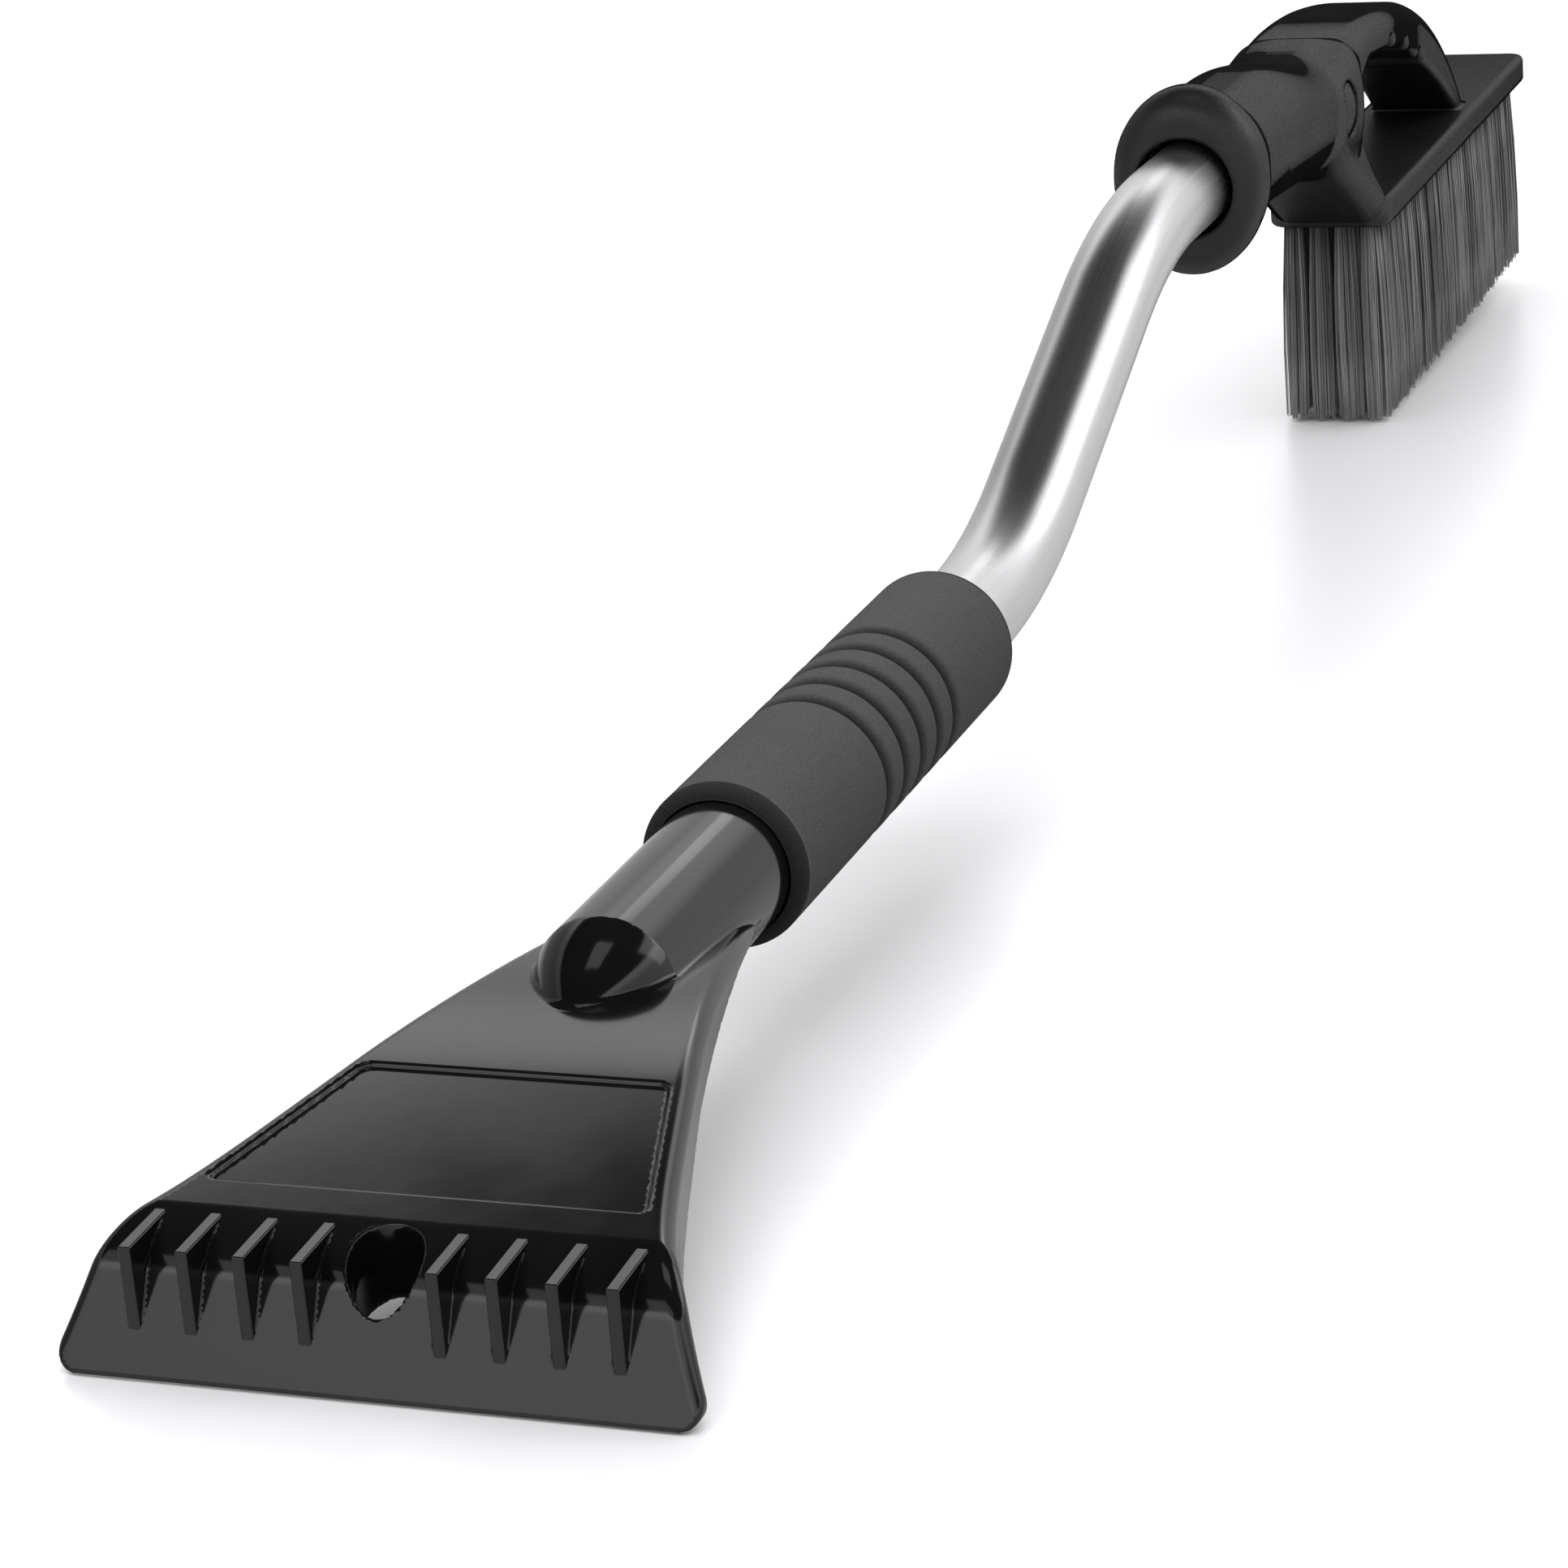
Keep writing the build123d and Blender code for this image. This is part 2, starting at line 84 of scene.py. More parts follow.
slide_axis = Vector(next(j for j in frame["joints"] if j["name"] == "brush_release")["axis"])
grip_tilt = math.atan2(slide_axis.z, slide_axis.x)
pin_low, pin_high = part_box("socket_cross_pin")
grip_origin = np.array((pin_low + pin_high) / 2) - np.array(slide_axis) * CROSS_PIN_AT / 1000


def turned(points):
    """Turns x and z by the grip's tilt, from the grip's level frame to the table's."""
    c, s = math.cos(grip_tilt), math.sin(grip_tilt)
    return np.stack([points[:, 0] * c - points[:, 2] * s, points[:, 1],
                     points[:, 0] * s + points[:, 2] * c], axis=1)


def new_piece(name, points, faces, body, finish, normals=None, uv=None):
    """A smooth mesh piece from points in grip millimetres, riding on a body."""
    mesh = bpy.data.meshes.new(name)
    mesh.from_pydata((turned(points) / 1000 + grip_origin).tolist(), [], faces)
    mesh.shade_smooth()
    if normals is not None:
        mesh.normals_split_custom_set_from_vertices(turned(normals).tolist())
    if uv is not None:
        corners = np.empty(len(mesh.loops), np.int32)
        mesh.loops.foreach_get("vertex_index", corners)
        mesh.uv_layers.new(name="run").data.foreach_set("uv", uv[corners].astype(np.float32).ravel())
    mesh.materials.append(finish)
    piece = bpy.data.objects.new(name, mesh)
    bpy.context.scene.collection.objects.link(piece)
    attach(piece, body)
    return piece


def closed_grid(rows, columns):
    """Quads of a grid that closes on itself in both directions, as the wall of a tube does."""
    row, column = np.meshgrid(np.arange(rows), np.arange(columns), indexing="ij")
    next_row, next_column = (row + 1) % rows, (column + 1) % columns
    corners = [row * columns + column, next_row * columns + column,
               next_row * columns + next_column, row * columns + next_column]
    return np.stack(corners, axis=-1).reshape(-1, 4).tolist()


def carry_ring(centres, outward, radii, around):
    """A circle carried along a path: centre + radius (outward cos a + across sin a)."""
    angle = np.linspace(0, 2 * math.pi, around, endpoint=False)[None, :, None]
    spokes = outward[:, None, :] * np.cos(angle) + np.array([0.0, 1.0, 0.0]) * np.sin(angle)
    return (centres[:, None, :] + radii[:, None, None] * spokes).reshape(-1, 3)


def tube_path(along):
    """Centre line by length: the heading is level, ramps up round the lower bend, holds, ramps down."""
    knots = np.cumsum([LOWER_BEND_AT, LOWER_BEND_R * BEND_ANGLE, STRAIGHT_BETWEEN,
                       UPPER_BEND_R * BEND_ANGLE])
    heading = np.interp(along, knots, [0, BEND_ANGLE, BEND_ANGLE, 0])
    middle = (heading[1:] + heading[:-1]) / 2
    step = np.diff(along)
    x = along[0] + np.concatenate([[0], np.cumsum(step * np.cos(middle))])
    z = np.concatenate([[0], np.cumsum(step * np.sin(middle))])
    level = np.zeros_like(x)
    return np.stack([x, level, z], axis=1), np.stack([-np.sin(heading), level, np.cos(heading)], axis=1)


def new_finish(name):
    """A node material: the material, its tree, its Principled shader and its Object coordinates."""
    finish = bpy.data.materials.new(name)
    finish.use_nodes = True
    tree = finish.node_tree
    place = tree.nodes.new("ShaderNodeTexCoord")
    return finish, tree, tree.nodes["Principled BSDF"], place.outputs["Object"]


def noise(tree, coordinate, scale, detail=3.0, stretch=(1, 1, 1)):
    """A noise pattern on a coordinate that a Mapping node stretches."""
    mapping = tree.nodes.new("ShaderNodeMapping")
    mapping.inputs["Scale"].default_value = stretch
    tree.links.new(coordinate, mapping.inputs["Vector"])
    texture = tree.nodes.new("ShaderNodeTexNoise")
    texture.inputs["Scale"].default_value = scale
    texture.inputs["Detail"].default_value = detail
    tree.links.new(mapping.outputs["Vector"], texture.inputs["Vector"])
    return texture.outputs["Fac"]


def spread(tree, pattern, low, high):
    """Maps the middle of a pattern's range onto low to high."""
    ramp = tree.nodes.new("ShaderNodeMapRange")
    for socket, number in (("From Min", 0.3), ("From Max", 0.7), ("To Min", low), ("To Max", high)):
        ramp.inputs[socket].default_value = number
    tree.links.new(pattern, ramp.inputs["Value"])
    return ramp.outputs["Result"]


def tint(tree, pattern, dark, light):
    """Mixes two greys by a pattern."""
    ramp = tree.nodes.new("ShaderNodeValToRGB")
    for stop, position, grey in zip(ramp.color_ramp.elements, (0.3, 0.7), (dark, light)):
        stop.position = position
        stop.color = (grey, grey, grey * 1.02, 1)
    tree.links.new(pattern, ramp.inputs["Fac"])
    return ramp.outputs["Color"]


def relief(tree, shader, pattern, strength, distance):
    """Raises the surface by a pattern, through a Bump node; the distance is in metres."""
    bump = tree.nodes.new("ShaderNodeBump")
    bump.inputs["Strength"].default_value = strength
    bump.inputs["Distance"].default_value = distance
    tree.links.new(pattern, bump.inputs["Height"])
    tree.links.new(bump.outputs["Normal"], shader.inputs["Normal"])


aluminium, tree, shader, spot = new_finish("satin_anodised_aluminium")
drawn = tree.nodes.new("ShaderNodeUVMap")
drawn.uv_map = "run"
draw_lines = noise(tree, drawn.outputs["UV"], 1.0, 4.0, (5, 420, 1))
shader.inputs["Metallic"].default_value = 1.0
tree.links.new(tint(tree, draw_lines, 0.72, 0.80), shader.inputs["Base Color"])
tree.links.new(spread(tree, draw_lines, 0.25, 0.33), shader.inputs["Roughness"])
relief(tree, shader, draw_lines, 0.05, 0.0001)

route_length = TUBE_TO - TUBE_FROM + rise_run * (1 - math.cos(BEND_ANGLE)) \
    - 2 * bend_tangents + (LOWER_BEND_R + UPPER_BEND_R) * BEND_ANGLE
stations = np.linspace(TUBE_FROM, TUBE_FROM + route_length, TUBE_STATIONS)
centres, outward = tube_path(stations)
out_and_back = np.concatenate([np.arange(TUBE_STATIONS), np.arange(TUBE_STATIONS)[::-1]])
radii = np.repeat([TUBE_R, TUBE_R - TUBE_WALL], TUBE_STATIONS)
tube_wall = carry_ring(centres[out_and_back], outward[out_and_back], radii, TUBE_AROUND)
around_both_ways = np.abs(np.linspace(-1, 1, TUBE_AROUND, endpoint=False))
tube_run = np.stack([np.repeat(stations[out_and_back] / 1000, TUBE_AROUND),
                     np.tile(around_both_ways, 2 * TUBE_STATIONS)], axis=1)
tube = new_piece("satin_handle_tube", tube_wall, closed_grid(2 * TUBE_STATIONS, TUBE_AROUND),
                 "handle", aluminium, uv=tube_run)
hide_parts("handle_tube")


# ---- foam grip --------------------------------------------------------------------------
# Sleeve of fine closed-cell foam pushed over the socket and the tube. Five grooves are ground
# round it, both ends are rounded over, and the mouth opens a little around the socket.
GRIP_FROM = -1.0
GRIP_TO = 130.2
GRIP_R = 16.3
GRIP_END_ROUND = 2.7
GRIP_MOUTH_R = 13.6
GRIP_BORE_R = 13.3
SOCKET_END = 25.3
GROOVES_AT = 48.0 + 10.4 * np.arange(5)
GROOVE_DEPTH = 1.9
GROOVE_HALF_WIDTH = 1.3
GRIP_AROUND = 128


def sleeve_profile():
    """Radius by length: a quarter round, a straight side less a bell curve at each groove, a
    quarter round, and back along the bore, which is wider where the socket lies. The third
    result is painted shade: how far the foam's colour is darkened, by the depth of each groove,
    and by a fixed amount on the rounded ends and along the bore."""
    turn = np.linspace(0, math.pi / 2, 12)
    side = np.concatenate([np.arange(GRIP_FROM + GRIP_END_ROUND, 43, 0.9), np.arange(43, 95, 0.22),
                           np.arange(95, GRIP_TO - GRIP_END_ROUND, 0.9)])
    dips = np.exp(-((side[:, None] - GROOVES_AT) / GROOVE_HALF_WIDTH) ** 2).sum(axis=1)
    sine, cosine = GRIP_END_ROUND * (1 - np.sin(turn)), GRIP_END_ROUND * (1 - np.cos(turn))
    bore_r = TUBE_R + 0.05
    lengths = [GRIP_FROM + cosine, side, GRIP_TO - sine,
               [GRIP_TO, SOCKET_END, SOCKET_END, GRIP_FROM + 2.0, GRIP_FROM]]
    radii = [GRIP_R - sine, GRIP_R - GROOVE_DEPTH * dips, GRIP_R - cosine,
             [bore_r, bore_r, GRIP_BORE_R, GRIP_BORE_R, GRIP_MOUTH_R]]
    painted_foam_shade = [0 * turn + 0.7, dips, 0 * turn + 0.7, [0.7] * 5]
    return np.concatenate(lengths), np.concatenate(radii), np.concatenate(painted_foam_shade)


foam, tree, shader, spot = new_finish("fine_cell_foam")
cells = noise(tree, spot, 2400.0, 2.0)
clouds = noise(tree, spot, 60.0)
painted_foam_shade = tree.nodes.new("ShaderNodeAttribute")
painted_foam_shade.attribute_name = "painted_foam_shade"
# Painted shade: the foam's colour is mixed towards near black by the per-point shade amount, deep in
# each groove and partly on the rounded ends and in the bore.
painted_shade_mix = tree.nodes.new("ShaderNodeMix")
painted_shade_mix.data_type = "RGBA"
painted_shade_mix.inputs["B"].default_value = (0.003, 0.003, 0.003, 1)
tree.links.new(painted_foam_shade.outputs["Fac"], painted_shade_mix.inputs["Factor"])
tree.links.new(tint(tree, cells, 0.044, 0.066), painted_shade_mix.inputs["A"])
tree.links.new(painted_shade_mix.outputs["Result"], shader.inputs["Base Color"])
tree.links.new(spread(tree, clouds, 0.80, 0.92), shader.inputs["Roughness"])
shader.inputs["Specular IOR Level"].default_value = 0.15
relief(tree, shader, cells, 0.5, 0.00025)

sleeve_x, sleeve_r, sleeve_painted_shade = sleeve_profile()
level = np.zeros_like(sleeve_x)
sleeve_centres = np.stack([sleeve_x, level, level], axis=1)
sleeve_up = np.stack([level, level, level + 1], axis=1)
grip = new_piece("foam_sleeve", carry_ring(sleeve_centres, sleeve_up, sleeve_r, GRIP_AROUND),
                 closed_grid(len(sleeve_x), GRIP_AROUND), "handle", foam)
# Painted shade for each point of the sleeve, taken from its profile.
painted_shade_per_point = np.repeat(sleeve_painted_shade, GRIP_AROUND).astype(np.float32)
grip.data.attributes.new("painted_foam_shade", "FLOAT", "POINT").data.foreach_set("value", painted_shade_per_point)
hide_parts("foam_grip")


# ---- scraper head -----------------------------------------------------------------------
# One polished black moulding: a blade edge, a steep front, a flared plate with a shallow
# recess, and a round socket with a domed end. Every corner is a mould radius, so the head is
# worked out as one field of distances and its zero surface becomes the skin. A thin fin inside
# each claw gives the claw's foot its mould radius.
BLADE_X, BLADE_Z, BLADE_LIP = -160.0, -25.0, 0.9
BLADE_HALF, BLADE_CORNER_R = 54.6, 4.5
FRONT_TOP = (-152.8, -10.4)
SHOULDER_ROUND = 6.4
DECK_X, DECK_Z, DECK_SLOPE, DECK_FALL = -96.0, 1.8, 0.0998, 0.0017
FLARE = ((-162.0, 59.8), (-156.0, 54.4), (-148.0, 48.9), (-134.0, 42.5), (-114.5, 36.5),
         (-92.5, 30.4), (-58.5, 22.0), (-38.5, 18.0), (-14.0, 12.6))
UNDERSIDE = ((-159.2, -25.0), (-141.8, -16.6), (-92.5, -5.4), (-40.0, -1.8), (-14.0, -2.8))
RIM_ROUND = 3.2
HEAD_WALL, RIB_HALF = 2.8, 1.1
RIBS_AT, CROSS_RIB_X = (-22.0, 0.0, 22.0), -112.0
HOLLOW_X, HOLLOW_HALF = -115.0, 35.0
RECESS_NEAR, RECESS_FAR = -134.0, -96.0
RECESS_NEAR_HALF, RECESS_FAR_HALF = 37.7, 27.1
RECESS_DEPTH, RECESS_CORNER_R = 0.9, 1.8
STEM_R, STEM_FROM, STEM_TO = 13.25, -56.5, 25.0
NOSE_LENGTH, NOSE_BULGE = 18.8, 2.2
PLATE_END = -10.5
HOLE_X, HOLE_Z, HOLE_R = -148.7, -5.5, 6.2
CLAWS_AT = 11.34 + 9.83 * np.arange(4)
CLAW_HALF = 1.1
FIN_X, FIN_HALF, FIN_TOP, FIN_FOOT, FIN_INSET = -148.6, 7.0, -4.2, -19.0, 0.3


def both(a, b, radius):
    """Where two distance fields both hold, with the shared edge rounded to a radius."""
    rounding = np.hypot(np.maximum(a + radius, 0), np.maximum(b + radius, 0))
    return np.minimum(np.maximum(a, b), -radius) + rounding


def joined(a, b, radius):
    """Where either distance field holds, with the shared corner filled to a radius."""
    return -both(-a, -b, radius)


def cut(a, b, radius):
    """The first field without the second, with the edge rounded to a radius."""
    return both(a, -b, radius)


def past_line(across, up, start, end):
    """Distance from the line through two points, growing on its left side, from start to end."""
    run, rise = end[0] - start[0], end[1] - start[1]
    return ((up - start[1]) * run - (across - start[0]) * rise) / math.hypot(run, rise)


flare = Polynomial.fit(*np.array(FLARE).T, 6)


def head_field(x, y, z):
    """Distance from the scraper's skin, less than zero inside the plastic. The plate is the space
    under a deck line and a front line, between two flared sides, over an underside. The socket is
    a cylinder with a circular arc spun for its domed end. The hollow, recess and holes are cut."""
    flank = np.abs(y)
    beyond = np.maximum(x - DECK_X, 0)
    deck_z = DECK_Z + DECK_SLOPE * (x - DECK_X) - DECK_FALL * beyond ** 2
    front = past_line(x, z, (BLADE_X, BLADE_Z + BLADE_LIP), FRONT_TOP)
    along = np.clip(x, FLARE[0][0], FLARE[-1][0])
    side = (flank - flare(along)) / np.sqrt(1 + flare.deriv()(along) ** 2)
    plate = both(both(z - deck_z, front, SHOULDER_ROUND), side, RIM_ROUND)
    plate = both(plate, np.maximum(np.interp(x, *np.array(UNDERSIDE).T) - z, x - PLATE_END), 0.5)
    lower_corner = np.hypot(np.maximum(flank - BLADE_HALF + BLADE_CORNER_R, 0),
                            np.maximum(BLADE_Z + BLADE_CORNER_R - z, 0)) - BLADE_CORNER_R
    plate = both(plate, lower_corner, 0.8)

    hole = np.hypot((x - HOLE_X) + (z - HOLE_Z) * DECK_SLOPE, y) - HOLE_R
    hollow = np.maximum(np.maximum(z - deck_z + HEAD_WALL, side + HEAD_WALL),
                        np.abs(x - HOLLOW_X) - HOLLOW_HALF)
    hollow = np.maximum(hollow, front + HEAD_WALL + 1)
    for rib in RIBS_AT:
        hollow = np.maximum(hollow, RIB_HALF - np.abs(y - rib))
    hollow = np.maximum(np.maximum(hollow, RIB_HALF - np.abs(x - CROSS_RIB_X)), HEAD_WALL - hole)
    plate = np.maximum(plate, -hollow)

    taper = (RECESS_NEAR_HALF - RECESS_FAR_HALF) / (RECESS_FAR - RECESS_NEAR)
    recess_side = (flank - RECESS_NEAR_HALF + taper * (x - RECESS_NEAR)) / math.hypot(1, taper)
    recess = both(np.maximum(x - RECESS_FAR, RECESS_NEAR - x), recess_side, RECESS_CORNER_R)
    plate = cut(plate, both(recess, deck_z - RECESS_DEPTH - z, 0.5), 0.6)

    for claw in CLAWS_AT:
        fin = np.maximum(np.abs(flank - claw) - CLAW_HALF + FIN_INSET, np.abs(x - FIN_X) - FIN_HALF)
        fin = np.maximum(np.maximum(fin, z - FIN_TOP), FIN_FOOT - z)
        plate = joined(plate, fin, 0.6)

    reach = np.hypot(y, z)
    chord = math.hypot(NOSE_LENGTH, STEM_R)
    arc_r = (chord ** 2 / 4 + NOSE_BULGE ** 2) / (2 * NOSE_BULGE)
    drop = arc_r - NOSE_BULGE
    arc_x = STEM_FROM - NOSE_LENGTH / 2 + drop * STEM_R / chord
    arc_z = STEM_R / 2 - drop * NOSE_LENGTH / chord
    dome = np.hypot(x - arc_x, reach - arc_z) - arc_r
    barrel = np.maximum(reach - STEM_R, np.where(x < STEM_FROM, dome, x - STEM_TO))
    head = cut(joined(plate, barrel, 0.9), hole, 0.5)
    return np.maximum(head, -np.maximum(reach - TUBE_R - 0.05, TUBE_FROM - 0.5 - x))


SURFACE_PULLS, LONGEST_PULL = 4, 0.3


def steps(*stretches):
    """Grid lines from stretches of (start, spacing), up to the last stretch's start."""
    pairs = zip(stretches, stretches[1:])
    lines = [np.arange(start, after[0] - 0.01, gap) for (start, gap), after in pairs]
    return np.concatenate(lines + [[stretches[-1][0]]])


def skin(field, xs, ys, zs):
    """The zero surface of a field as quads: one point in each grid cell that the surface crosses,
    at the mean of its edge crossings, then moved down the field's slope onto the surface. The
    normal at each point is the slope."""
    values = field(xs[:, None, None], ys[None, :, None], zs[None, None, :])
    inside = values < 0
    corners = [np.array((i, j, k)) for i in (0, 1) for j in (0, 1) for k in (0, 1)]
    shape = np.array(values.shape) - 1
    count = np.zeros(shape, np.int8)
    for i, j, k in corners:
        count += inside[i:shape[0] + i, j:shape[1] + j, k:shape[2] + k]
    crossed = (count > 0) & (count < 8)
    cells = np.argwhere(crossed)
    number = np.full(crossed.shape, -1)
    number[crossed] = np.arange(len(cells))
    total, hits = np.zeros((len(cells), 3)), np.zeros(len(cells))
    for a in corners:
        for b in corners:
            if (b - a).min() < 0 or (b - a).sum() != 1:
                continue
            ia, ib = (cells + a).T, (cells + b).T
            va, vb = values[tuple(ia)], values[tuple(ib)]
            crosses = (va < 0) != (vb < 0)
            share = np.where(crosses, va / np.where(crosses, va - vb, 1), 0)[:, None]
            at_a = np.stack([xs[ia[0]], ys[ia[1]], zs[ia[2]]], axis=1)
            at_b = np.stack([xs[ib[0]], ys[ib[1]], zs[ib[2]]], axis=1)
            total += crosses[:, None] * (at_a + (at_b - at_a) * share)
            hits += crosses
    points = total / hits[:, None]
    for _ in range(SURFACE_PULLS):
        value, slope = field(*points.T), field_slope(field, points)
        shift = value[:, None] * slope / np.maximum((slope ** 2).sum(axis=1), 0.2)[:, None]
        points = points - np.clip(shift, -LONGEST_PULL, LONGEST_PULL)
    quads = []
    for axis in range(3):
        low = [slice(1, -1)] * 3
        high = [slice(1, -1)] * 3
        low[axis], high[axis] = slice(0, -1), slice(1, None)
        first, second = inside[tuple(low)], inside[tuple(high)]
        edges = np.argwhere(first != second)
        leaving = first[tuple(edges.T)]
        edges = edges + np.array([0 if n == axis else 1 for n in range(3)])
        b, c = np.eye(3, dtype=int)[(axis + 1) % 3], np.eye(3, dtype=int)[(axis + 2) % 3]
        quad = np.stack([number[tuple((edges - step).T)] for step in (b + c, c, 0 * b, b)], axis=1)
        quads.append(np.where(leaving[:, None], quad, quad[:, ::-1]))
    slope = field_slope(field, points)
    return points, np.concatenate(quads).tolist(), slope / np.linalg.norm(slope, axis=1)[:, None]


def field_slope(field, points, gap=0.05):
    """The field's slope at points, by central differences."""
    moved = [field(*(points + gap * step).T) - field(*(points - gap * step).T) for step in np.eye(3)]
    return np.stack(moved, axis=1) / (2 * gap)


gloss, tree, shader, spot = new_finish("polished_black_plastic")
wipe = noise(tree, spot, 45.0)
tree.links.new(tint(tree, wipe, 0.003, 0.005), shader.inputs["Base Color"])
tree.links.new(spread(tree, wipe, 0.09, 0.13), shader.inputs["Roughness"])
shader.inputs["IOR"].default_value = 1.52
relief(tree, shader, noise(tree, spot, 180.0, 2.0), 0.04, 0.0001)

head_x = steps((-161.6, 0.5), (-130.0, 0.9), (-98.5, 0.5), (-93.0, 0.9), (-79.0, 0.6), (-51.0, 1.0),
               (26.4, 1.0))
head_y = np.linspace(-57.0, 57.0, 175)
head_z = np.arange(-26.6, 15.0, 0.62)
head_points, head_quads, head_normals = skin(head_field, head_x, head_y, head_z)
head = new_piece("scraper_moulding", head_points, head_quads, "handle", gloss,
                 normals=head_normals)
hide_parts("scraper_head")


# ---- ice claws --------------------------------------------------------------------------
# Eight thin fins across the front slope, moulded with the head, that break up ice. They leave
# the middle free for the hanging hole. Their edges carry a small mould radius.
CLAW_OUTLINE = ((-156.4, -3.8), (-156.7, -18.3), (-150.0, -18.6), (-139.6, -7.0), (-141.2, -3.1))
CLAW_EDGE = 0.0003

outline = np.array(CLAW_OUTLINE)
corner_count = len(outline)
claw_rows = np.concatenate([-CLAWS_AT[::-1], CLAWS_AT])
flanks = claw_rows[:, None] + np.array([-CLAW_HALF, CLAW_HALF])
claw_points = np.empty((len(claw_rows), 2, corner_count, 3))
claw_points[..., 0], claw_points[..., 2] = outline[:, 0], outline[:, 1]
claw_points[..., 1] = flanks[:, :, None]
ring = np.arange(corner_count)
claw_sides = np.stack([ring, (ring + 1) % corner_count, (ring + 1) % corner_count + corner_count,
                       ring + corner_count], axis=1)
starts = np.arange(len(claw_rows))[:, None, None] * 2 * corner_count
caps = np.stack([ring[::-1], ring + corner_count])
claw_faces = (claw_sides + starts).reshape(-1, 4).tolist()
claw_faces += (caps + starts).reshape(-1, corner_count).tolist()
claws = new_piece("ice_claws", claw_points.reshape(-1, 3), claw_faces, "handle",
                  gloss)
soft_edges = claws.modifiers.new("mould_radius", "BEVEL")
soft_edges.width, soft_edges.segments, soft_edges.harden_normals = CLAW_EDGE, 3, True


# ---- brush head -------------------------------------------------------------------------
# One fine-textured black moulding: an oval guard where the tube enters, a neck, a hand grip
# with finger notches over a window, and the long plate that the tufts are set in. All of its
# corners are soft, so it is a field of distances like the scraper's.
COLLAR_FROM, COLLAR_TO = 337.7, 355.2
COLLAR_HALF_WIDTH, COLLAR_HALF_HEIGHT, COLLAR_RISE, COLLAR_ROUND = 19.5, 23.9, 0.7, 8.0
MOUTH_R, MOUTH_DEPTH, BORE_R, BORE_TO = 12.4, 9.0, 11.3, 458.0
NECK_HALF, NECK_TOP, NECK_TO, NECK_ROUND = 18.2, 18.8, 462.0, 14.5
NECK_FALL, NECK_FALL_FROM, NECK_FALL_TO = 5.2, 390.0, 440.0
NECK_FLOOR, NECK_FLOOR_AT, NECK_FLOOR_SLOPE = 15.2, 386.0, 0.065
NECK_FLOOR_LIMITS = (14.6, 19.8)
CREST = ((430, 50.8), (442, 56.8), (456, 60.5), (478, 62.4), (506, 62.1), (542, 57.3),
         (576, 46.8), (602, 31.0), (620, 15.0))
ROOF = ((466, 54.6), (480, 53.2), (500, 51.4), (519, 48.7), (547, 41.0), (573, 31.0), (607, 12.0))
WINDOW_FRONT = ((493, 12.0), (482, 20.0), (471.5, 28.5), (465, 37.0), (466.5, 46.0), (474, 53.6))
FRONT_WALL = ((490.5, 3.4), (440.0, 31.0))
NOTCHES = ((506.0, 48.4), (532.0, 42.9), (558.0, 34.4))
NOTCH_R = 5.0
GRIP_HALF, GRIP_REAR_HALF = 16.6, 13.2
GRIP_NARROWS_FROM, GRIP_NARROWS_OVER = 500.0, 60.0
PLATE_FROM, PLATE_TO, PLATE_HALF = 488.0, 697.0, 17.5
PLATE_BOTTOM, PLATE_TOP = 3.4, 12.0
PLATE_CORNER_R, PLATE_ROUND = 6.0, 1.6
BUTTON_X, BUTTON_Z, BUTTON_R, BUTTON_POCKET = 444.0, UPPER_AXIS_Z - 2.2, 7.0, 12.9

crest, roof = (Polynomial.fit(*np.array(line).T, 5) for line in (CREST, ROOF))
window_front = Polynomial.fit(*np.array(WINDOW_FRONT)[:, ::-1].T, 4)


